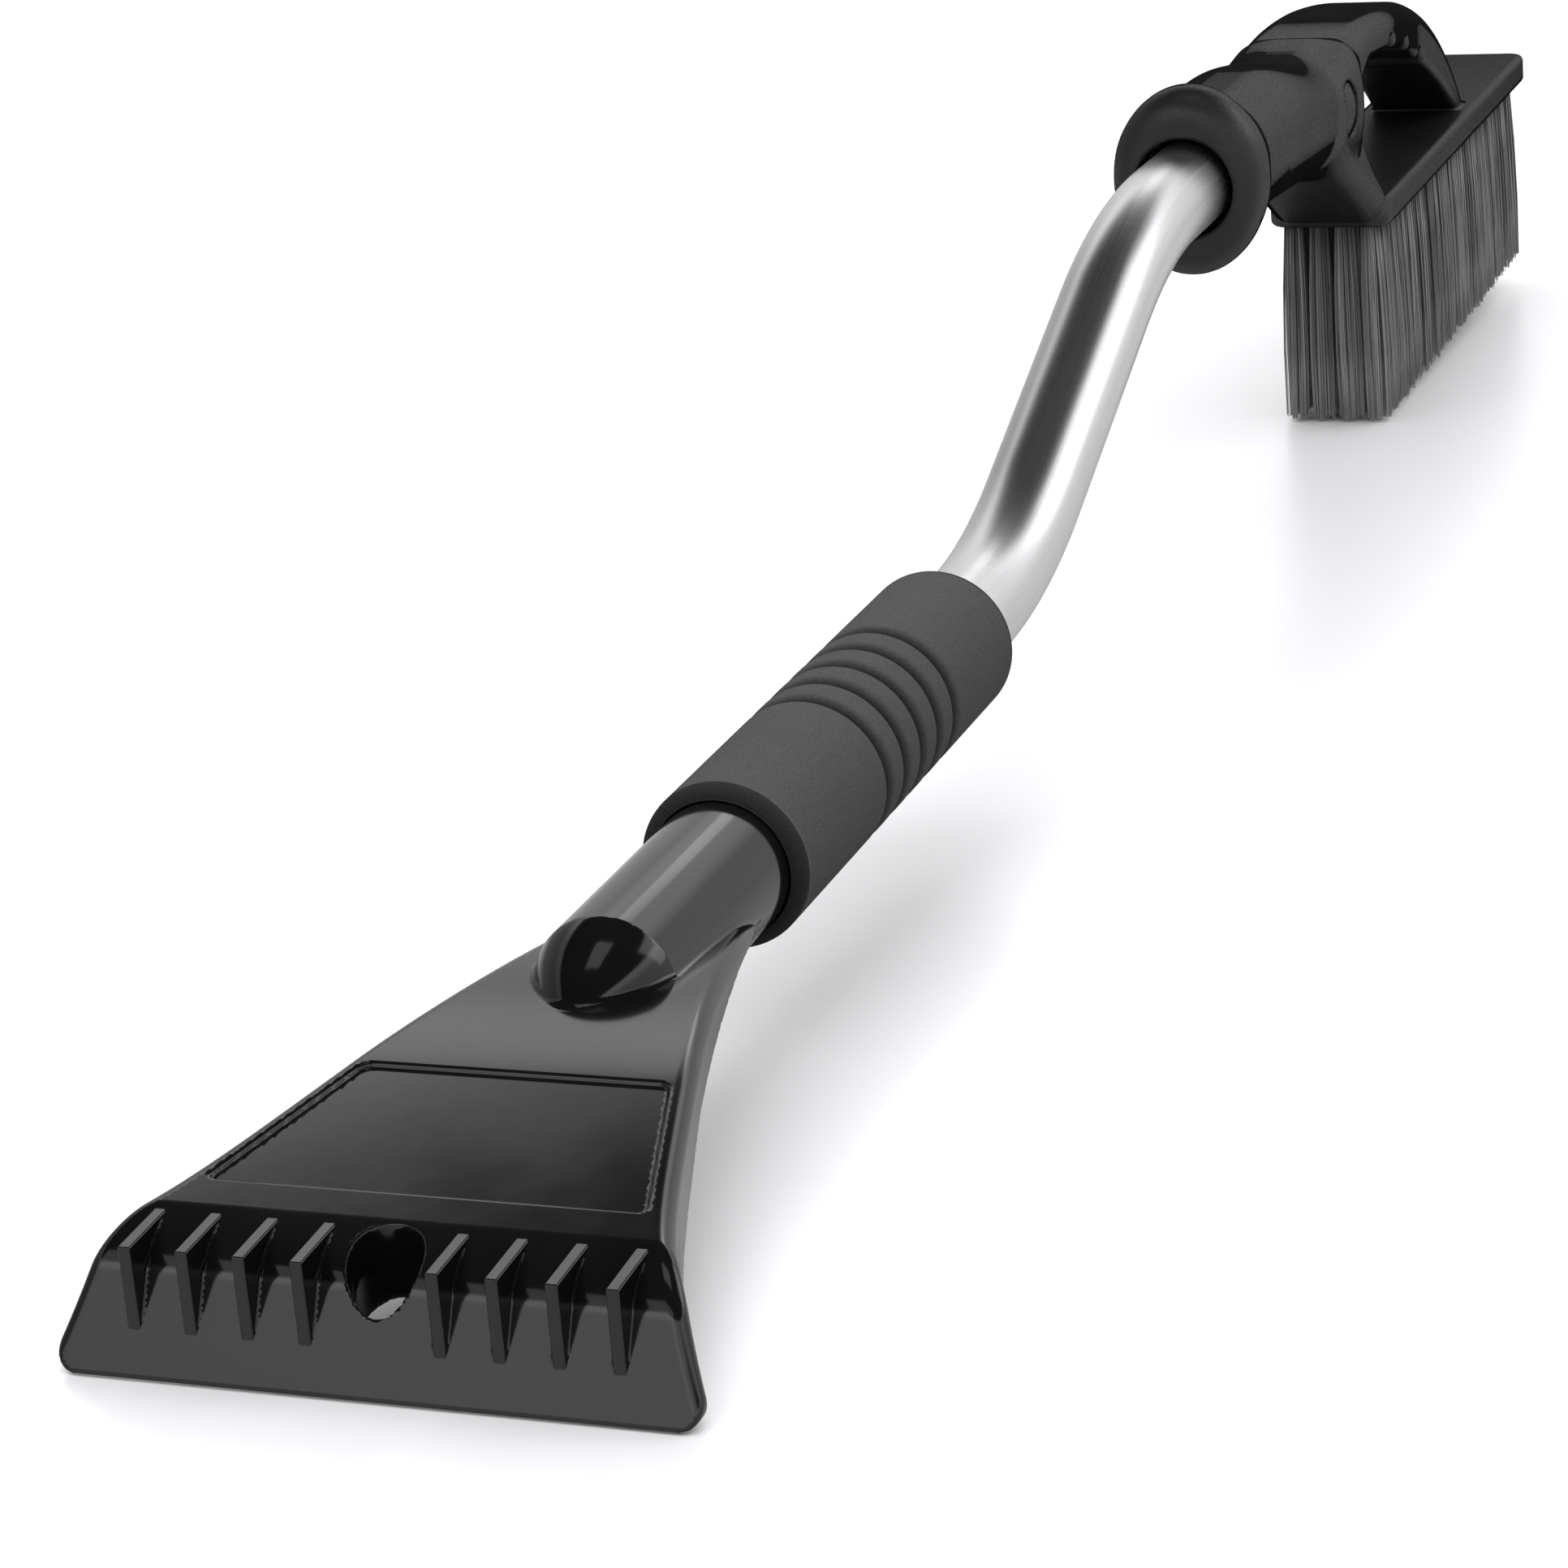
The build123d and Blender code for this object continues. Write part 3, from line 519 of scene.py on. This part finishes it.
def brush_field(x, y, z):
    """Distance from the brush head's skin. The guard is an oval slab, the neck a rounded bar whose
    top and floor fall towards the brush, and the grip the space under a crest line and over a
    front wall line, less a window under a roof line. The plate is a rounded slab, and the bores
    are cut."""
    flank, up = np.abs(y), z - UPPER_AXIS_Z
    oval_y, oval_z = y / COLLAR_HALF_WIDTH, (up - COLLAR_RISE) / COLLAR_HALF_HEIGHT
    reach = np.hypot(oval_y, oval_z)
    steepness = np.hypot(oval_y / COLLAR_HALF_WIDTH, oval_z / COLLAR_HALF_HEIGHT)
    oval = reach * (reach - 1) / np.maximum(steepness, 1e-6)
    collar_middle, collar_half = (COLLAR_FROM + COLLAR_TO) / 2, (COLLAR_TO - COLLAR_FROM) / 2
    collar = both(oval, np.abs(x - collar_middle) - collar_half, COLLAR_ROUND)

    floor_drop = np.clip(NECK_FLOOR + (x - NECK_FLOOR_AT) * NECK_FLOOR_SLOPE, *NECK_FLOOR_LIMITS)
    fallen = np.clip((x - NECK_FALL_FROM) / (NECK_FALL_TO - NECK_FALL_FROM), 0, 1)
    neck_top = NECK_TOP - NECK_FALL * fallen * fallen * (3 - 2 * fallen)
    half_height = (neck_top + floor_drop) / 2
    neck_y = flank - NECK_HALF + NECK_ROUND
    neck_z = np.abs(up - neck_top + half_height) - half_height + NECK_ROUND
    neck = np.hypot(np.maximum(neck_y, 0), np.maximum(neck_z, 0)) - NECK_ROUND
    neck = both(neck, np.maximum(x - NECK_TO, COLLAR_FROM + 6 - x), 5.0)

    along = np.clip(x, CREST[0][0], CREST[-1][0] + 8)
    over = (z - crest(along)) / np.sqrt(1 + crest.deriv()(along) ** 2)
    grip = both(both(over, CREST[0][0] - x, 8.0), past_line(x, z, *FRONT_WALL), 3.0)
    narrowed = np.clip((x - GRIP_NARROWS_FROM) / GRIP_NARROWS_OVER, 0, 1)
    half = GRIP_HALF + (GRIP_REAR_HALF - GRIP_HALF) * narrowed * narrowed * (3 - 2 * narrowed)
    grip = both(grip, flank - half, 6.5)
    grip = np.maximum(grip, PLATE_BOTTOM + 1.5 - z)
    under_roof = (z - roof(along)) / np.sqrt(1 + roof.deriv()(along) ** 2)
    level = np.clip(z, WINDOW_FRONT[0][1], WINDOW_FRONT[-1][1])
    behind_front = (window_front(level) - x) / np.sqrt(1 + window_front.deriv()(level) ** 2)
    window = both(under_roof, behind_front, 4.0)
    for notch_x, notch_z in NOTCHES:
        window = joined(window, np.hypot(x - notch_x, z - notch_z) - NOTCH_R, 0.8)
    window = np.maximum(window, 460.0 - x)
    grip = cut(grip, window, 2.2)
    head = joined(joined(neck, grip, 5.0), collar, 3.0)

    plan = np.hypot(np.maximum(np.abs(x - (PLATE_FROM + PLATE_TO) / 2) - (PLATE_TO - PLATE_FROM) / 2
                               + PLATE_CORNER_R, 0), np.maximum(flank - PLATE_HALF + PLATE_CORNER_R, 0))
    slab = np.abs(z - (PLATE_TOP + PLATE_BOTTOM) / 2) - (PLATE_TOP - PLATE_BOTTOM) / 2
    plate = both(plan - PLATE_CORNER_R, slab, PLATE_ROUND)
    head = joined(head, plate, 1.2)

    off_axis = np.hypot(y, up)
    head = cut(head, np.maximum(off_axis - BORE_R, x - BORE_TO), 0.4)
    head = cut(head, np.maximum(off_axis - MOUTH_R, x - COLLAR_FROM - MOUTH_DEPTH), 1.2)
    pocket = np.hypot(x - BUTTON_X, z - BUTTON_Z) - BUTTON_R - 0.3
    return cut(head, np.maximum(pocket, y + BUTTON_POCKET), 0.6)


moulded, tree, shader, spot = new_finish("fine_textured_black_plastic")
grain = noise(tree, spot, 1500.0, 2.0)
tree.links.new(tint(tree, noise(tree, spot, 50.0), 0.006, 0.009), shader.inputs["Base Color"])
tree.links.new(spread(tree, grain, 0.36, 0.50), shader.inputs["Roughness"])
relief(tree, shader, grain, 0.35, 0.00016)
# The sheen fades where the surface is seen edge on, as the texture shades itself there.
facing = tree.nodes.new("ShaderNodeLayerWeight")
facing.inputs["Blend"].default_value = 0.5
dulled = tree.nodes.new("ShaderNodeMapRange")
for socket, number in (("From Min", 0.45), ("From Max", 0.82), ("To Min", 0.5), ("To Max", 0.0)):
    dulled.inputs[socket].default_value = number
tree.links.new(facing.outputs["Facing"], dulled.inputs["Value"])
tree.links.new(dulled.outputs["Result"], shader.inputs["Specular IOR Level"])

brush_x = steps((336.5, 0.8), (360, 1.15), (434, 0.85), (500, 1.05), (626, 1.6), (694, 0.9),
                (699.6, 0.9))
brush_y = np.linspace(-20.8, 20.8, 50)
brush_z = np.arange(1.6, 76.0, 0.85)
brush_points, brush_quads, brush_normals = skin(brush_field, brush_x, brush_y, brush_z)
brush = new_piece("brush_moulding", brush_points, brush_quads, "brush", moulded,
                  normals=brush_normals)
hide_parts("brush_head")


# ---- release button ---------------------------------------------------------------------
# Small domed cap moulded in the same black plastic, held out by the spring inside the tube.
# Pressing it pushes the snap pin in, and the brush head slides off.
BUTTON_RIM, BUTTON_CROWN, BUTTON_INNER = 18.0, 1.7, 16.7
BUTTON_STEM_R, BUTTON_STEM_TO = 2.6, 14.5
BUTTON_EDGE = 0.7
BUTTON_AROUND = 64

# The cap's section is its stem, a flat back, a quarter-round edge and a parabola over the crown.
turn = np.linspace(0, math.pi / 2, 7)
rise = np.linspace(0, 0.94, 14)[1:]
crown_r = BUTTON_R - BUTTON_EDGE
cap_r = np.concatenate([[BUTTON_STEM_R, BUTTON_STEM_R, BUTTON_R], crown_r + BUTTON_EDGE * np.cos(turn),
                        crown_r * (1 - rise)])
cap_y = np.concatenate([[BUTTON_STEM_TO, BUTTON_INNER, BUTTON_INNER],
                        BUTTON_RIM - BUTTON_EDGE + BUTTON_EDGE * np.sin(turn),
                        BUTTON_RIM + BUTTON_CROWN * (1 - (1 - rise) ** 2)])
angle = np.linspace(0, 2 * math.pi, BUTTON_AROUND, endpoint=False)
cap_across = BUTTON_X + cap_r[:, None] * np.cos(angle)
cap_out = np.repeat(-cap_y[:, None], BUTTON_AROUND, axis=1)
cap_up = BUTTON_Z - cap_r[:, None] * np.sin(angle)
cap_points = np.stack([cap_across, cap_out, cap_up], axis=-1).reshape(-1, 3)
rim = np.arange(BUTTON_AROUND)
last_ring = (len(cap_r) - 1) * BUTTON_AROUND
cap_ends = [rim[::-1].tolist(), (rim + last_ring).tolist()]
cap_faces = closed_grid(len(cap_r), BUTTON_AROUND)[:last_ring] + cap_ends
button = new_piece("release_button_cap", cap_points, cap_faces, "button", moulded)
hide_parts("release_button")


# ---- pins, spring and tuft anchors ------------------------------------------------------
# The plain steel inside: a ground pin through the socket, a folded strip spring with its snap
# pin, and the galvanised wire anchors. Their turned and pressed shapes stay as designed.
steel, tree, shader, spot = new_finish("bright_steel")
scratches = noise(tree, spot, 900.0, 3.0, (1, 8, 1))
shader.inputs["Metallic"].default_value = 1.0
tree.links.new(tint(tree, scratches, 0.50, 0.60), shader.inputs["Base Color"])
tree.links.new(spread(tree, scratches, 0.22, 0.38), shader.inputs["Roughness"])
for name in ("socket_cross_pin", "snap_spring", "tuft_anchors"):
    frame["nodes"][name].data.materials.clear()
    frame["nodes"][name].data.materials.append(steel)


# ---- bristles ---------------------------------------------------------------------------
# Four lengthways rows of nylon tufts, folded into their holes and pinned. Each tuft is a few
# locks of filaments that lean a little apart, so the rows look streaked and end unevenly.
TUFTS_PER_ROW = 24
TUFT_FIRST_X, TUFT_PITCH = 493.0, 8.45
ROW_PITCH, ROW_TIP_PITCH = 7.3, 8.0
BRISTLE_LENGTH, ROOT_SUNK = 57.0, 0.6
TUFT_ROOT_R = 2.55
LOCK_SIZE, LOCK_LEAN = 0.95, 0.35
CELLS_ACROSS, LOCKS_PER_TUFT = 7, 64
TIP_SPREAD_X, TIP_SPREAD_Y = 3.6, 3.3
FILAMENTS_PER_TUFT = 190
FILAMENT_R = 0.16
FILAMENT_RINGS = 4
ROW_FAN, ROW_OVERHANG = 1.006, 4.4

nylon, tree, shader, spot = new_finish("grey_nylon_filament")
shade = tree.nodes.new("ShaderNodeAttribute")
shade.attribute_name = "shade"
streak = tree.nodes.new("ShaderNodeValToRGB")
streak.color_ramp.elements[0].color = (0.034, 0.034, 0.035, 1)
streak.color_ramp.elements[1].color = (0.48, 0.48, 0.485, 1)
tree.links.new(shade.outputs["Fac"], streak.inputs["Fac"])
tree.links.new(streak.outputs["Color"], shader.inputs["Base Color"])
tree.links.new(spread(tree, noise(tree, spot, 400.0), 0.36, 0.5), shader.inputs["Roughness"])


def filament_row(row, draw):
    """Centre lines run root + (tip - root) t, bowed by t (1 - t), with a three-sided section that
    narrows to the tip. Filaments whose roots share a small square cell lean and shade alike, and
    the tips are lighter."""
    count = TUFTS_PER_ROW * FILAMENTS_PER_TUFT
    tuft_x = np.repeat(TUFT_FIRST_X + TUFT_PITCH * np.arange(TUFTS_PER_ROW), FILAMENTS_PER_TUFT)
    row_y = (row - 1.5) * ROW_PITCH
    radius = np.sqrt(draw.random(count))
    bearing = draw.random(count) * 2 * math.pi
    local = np.stack([radius * np.cos(bearing), radius * np.sin(bearing)], axis=1)
    cell = np.floor((local + 1) * TUFT_ROOT_R / LOCK_SIZE).astype(int)
    tuft = np.repeat(np.arange(TUFTS_PER_ROW), FILAMENTS_PER_TUFT)
    lock = cell[:, 0] * CELLS_ACROSS + cell[:, 1] + tuft * LOCKS_PER_TUFT
    lean = draw.normal(0, LOCK_LEAN, (TUFTS_PER_ROW * LOCKS_PER_TUFT, 2))[lock]
    lock_shade = draw.random(TUFTS_PER_ROW * LOCKS_PER_TUFT)[lock]
    lock_drop = draw.random(TUFTS_PER_ROW * LOCKS_PER_TUFT)[lock]

    middle_x = TUFT_FIRST_X + TUFT_PITCH * (TUFTS_PER_ROW - 1) / 2
    root = np.stack([tuft_x + local[:, 0] * TUFT_ROOT_R, row_y + local[:, 1] * TUFT_ROOT_R,
                     np.full(count, PLATE_BOTTOM + ROOT_SUNK)], axis=1)
    spread_x = (tuft_x - middle_x) * ROW_FAN + local[:, 0] * TIP_SPREAD_X + lean[:, 0]
    spread_x += draw.normal(0, 0.25, count)
    row_half = TUFT_PITCH * (TUFTS_PER_ROW - 1) / 2 + ROW_OVERHANG
    tip_x = middle_x + np.clip(spread_x, -row_half, row_half)
    tip_y = row_y * ROW_TIP_PITCH / ROW_PITCH + local[:, 1] * TIP_SPREAD_Y + lean[:, 1]
    tip_y += draw.normal(0, 0.2, count)
    short = 0.1 + 1.3 * lock_drop + np.abs(draw.normal(0, 0.55, count))
    tip = np.stack([tip_x, tip_y, PLATE_BOTTOM - BRISTLE_LENGTH + short], axis=1)
    t = np.linspace(0, 1, FILAMENT_RINGS)
    path = root[:, None, :] + (tip - root)[:, None, :] * t[None, :, None]
    flare_out = (local * np.array([0.9, 0.7]))[:, None, :] * (4 * t * (1 - t))[None, :, None]
    path[:, :, :2] += flare_out
    corner = np.arange(3) * 2 * math.pi / 3
    section = np.stack([np.cos(corner), np.sin(corner), 0 * corner], axis=1)
    thickness = FILAMENT_R * (1 - 0.35 * t)[None, :, None, None]
    points = (path[:, :, None, :] + thickness * section).reshape(-1, 3)

    ring, side = np.meshgrid(np.arange(FILAMENT_RINGS - 1), np.arange(3), indexing="ij")
    quad = np.stack([ring * 3 + side, (ring + 1) * 3 + side, (ring + 1) * 3 + (side + 1) % 3,
                     ring * 3 + (side + 1) % 3], axis=-1).reshape(-1, 4)
    starts = np.arange(count)[:, None, None] * FILAMENT_RINGS * 3
    root_shade = np.clip(lock_shade * 0.55 + draw.random(count) * 0.3, 0, 1)
    shades = root_shade[:, None] + (0.9 * t ** 6)[None, :]
    last = 3 * (FILAMENT_RINGS - 1)
    ends = np.array([[0, 1, 2], [last, last + 2, last + 1]])
    faces = (quad + starts).reshape(-1, 4).tolist() + (ends + starts).reshape(-1, 3).tolist()
    return points, faces, np.repeat(shades.ravel(), 3)


for row in range(4):
    points, faces, shades = filament_row(row, np.random.default_rng(40 + row))
    name = f"bristle_row_{row + 1}"
    tufts = new_piece(f"filaments_{row + 1}", points, faces, "brush", nylon)
    layer = tufts.data.attributes.new("shade", "FLOAT", "POINT")
    layer.data.foreach_set("value", shades.astype(np.float32))
    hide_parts(name)


# ---- floor, light and camera ------------------------------------------------------------
# A pale table under soft studio light: a bright horizon that dims to one side, a dark ceiling
# that the tube and the plate mirror, soft boxes and a wide fill. The table is paler to the
# camera than to any other ray, so that the polished sides stay dark.
FLOOR_HALF = 5.0
floor_mesh = bpy.data.meshes.new("floor")
floor_mesh.from_pydata([(-FLOOR_HALF, -FLOOR_HALF, 0), (FLOOR_HALF, -FLOOR_HALF, 0),
                        (FLOOR_HALF, FLOOR_HALF, 0), (-FLOOR_HALF, FLOOR_HALF, 0)], [], [(0, 1, 2, 3)])
floor = bpy.data.objects.new("floor", floor_mesh)
bpy.context.scene.collection.objects.link(floor)
pale, tree, shader, spot = new_finish("pale_gloss_table")
seen = tree.nodes.new("ShaderNodeLightPath")
held_back = tree.nodes.new("ShaderNodeMix")
held_back.data_type = "RGBA"
held_back.inputs["A"].default_value = (0.45, 0.45, 0.45, 1)
tree.links.new(seen.outputs["Is Camera Ray"], held_back.inputs["Factor"])
tree.links.new(tint(tree, noise(tree, spot, 3.0), 0.93, 0.95), held_back.inputs["B"])
tree.links.new(held_back.outputs["Result"], shader.inputs["Base Color"])
shader.inputs["Roughness"].default_value = 0.34
shader.inputs["Metallic"].default_value = 0.3
floor_mesh.materials.append(pale)

world = bpy.data.worlds.new("studio")
world.use_nodes = True
bpy.context.scene.world = world
sky = world.node_tree
direction = sky.nodes.new("ShaderNodeTexCoord")
height = sky.nodes.new("ShaderNodeSeparateXYZ")
sky.links.new(direction.outputs["Generated"], height.inputs["Vector"])
falling = sky.nodes.new("ShaderNodeValToRGB")
falling.color_ramp.elements[1].position = 0.597
for stop in (0.40, 0.50, 0.572):
    falling.color_ramp.elements.new(stop)
for stop, grey in zip(falling.color_ramp.elements, (0.75, 0.80, 1.45, 1.45, 0.02)):
    stop.color = (grey, grey, grey, 1)
sky.links.new(height.outputs["Z"], falling.inputs["Fac"])
sky.links.new(falling.outputs["Color"], sky.nodes["Background"].inputs["Color"])
dimmer_side = sky.nodes.new("ShaderNodeMapRange")
for socket, number in (("From Min", 0.45), ("From Max", 0.75), ("To Min", 1.0), ("To Max", 0.35)):
    dimmer_side.inputs[socket].default_value = number
sky.links.new(height.outputs["Y"], dimmer_side.inputs["Value"])
sky.links.new(dimmer_side.outputs["Result"], sky.nodes["Background"].inputs["Strength"])

middle = Vector(((cad_low.x + cad_high.x) / 2, 0, (cad_low.z + cad_high.z) / 2))


def soft_box(name, azimuth, elevation, distance, width, height, radiance, mirrored=True):
    """A rectangular area light aimed at the tool: power = radiance x area x pi."""
    lamp = bpy.data.lights.new(name, "AREA")
    lamp.shape = "RECTANGLE"
    lamp.size, lamp.size_y = width, height
    lamp.energy = radiance * width * height * math.pi
    box = bpy.data.objects.new(name, lamp)
    a, e = math.radians(azimuth), math.radians(elevation)
    toward = Vector((math.cos(a) * math.cos(e), math.sin(a) * math.cos(e), math.sin(e)))
    box.location = middle + toward * distance
    box.rotation_euler = toward.to_track_quat("Z", "Y").to_euler()
    box.visible_glossy = mirrored
    box.visible_camera = False
    bpy.context.scene.collection.objects.link(box)


soft_box("button_side_box", -56, 34, 2.6, 1.5, 1.5, 1.35)
soft_box("behind_camera_box", 158, 28, 2.4, 1.6, 1.2, 0.7)
soft_box("overhead_box", 180, 82, 2.4, 0.9, 0.9, 0.9)
soft_box("far_streak_box", 6, 34, 2.8, 0.5, 0.35, 1.2)
soft_box("ceiling_fill", 0, 90, 3.0, 6.0, 6.0, 2.3, mirrored=False)

EYE = (-0.952578, -0.279900, 0.278875)
HEADING, PITCH, ROLL = math.radians(21.306), math.radians(-17.407), math.radians(-4.255)
level_run = math.cos(PITCH)
ahead = Vector((math.cos(HEADING) * level_run, math.sin(HEADING) * level_run, math.sin(PITCH)))
level_right = ahead.cross(Vector((0, 0, 1))).normalized()
level_up = level_right.cross(ahead)
right = level_right * math.cos(ROLL) + level_up * math.sin(ROLL)
camera = bpy.data.cameras.new("camera")
camera.sensor_width, camera.lens = 36.0, 97.86
camera.clip_start = 0.01
eye = bpy.data.objects.new("camera", camera)
bpy.context.scene.collection.objects.link(eye)
turn = Matrix((right, right.cross(ahead), -ahead)).transposed().to_4x4()
eye.matrix_world = Matrix.Translation(Vector(EYE)) @ turn
bpy.context.scene.camera = eye
bpy.context.scene.view_settings.view_transform = "Standard"
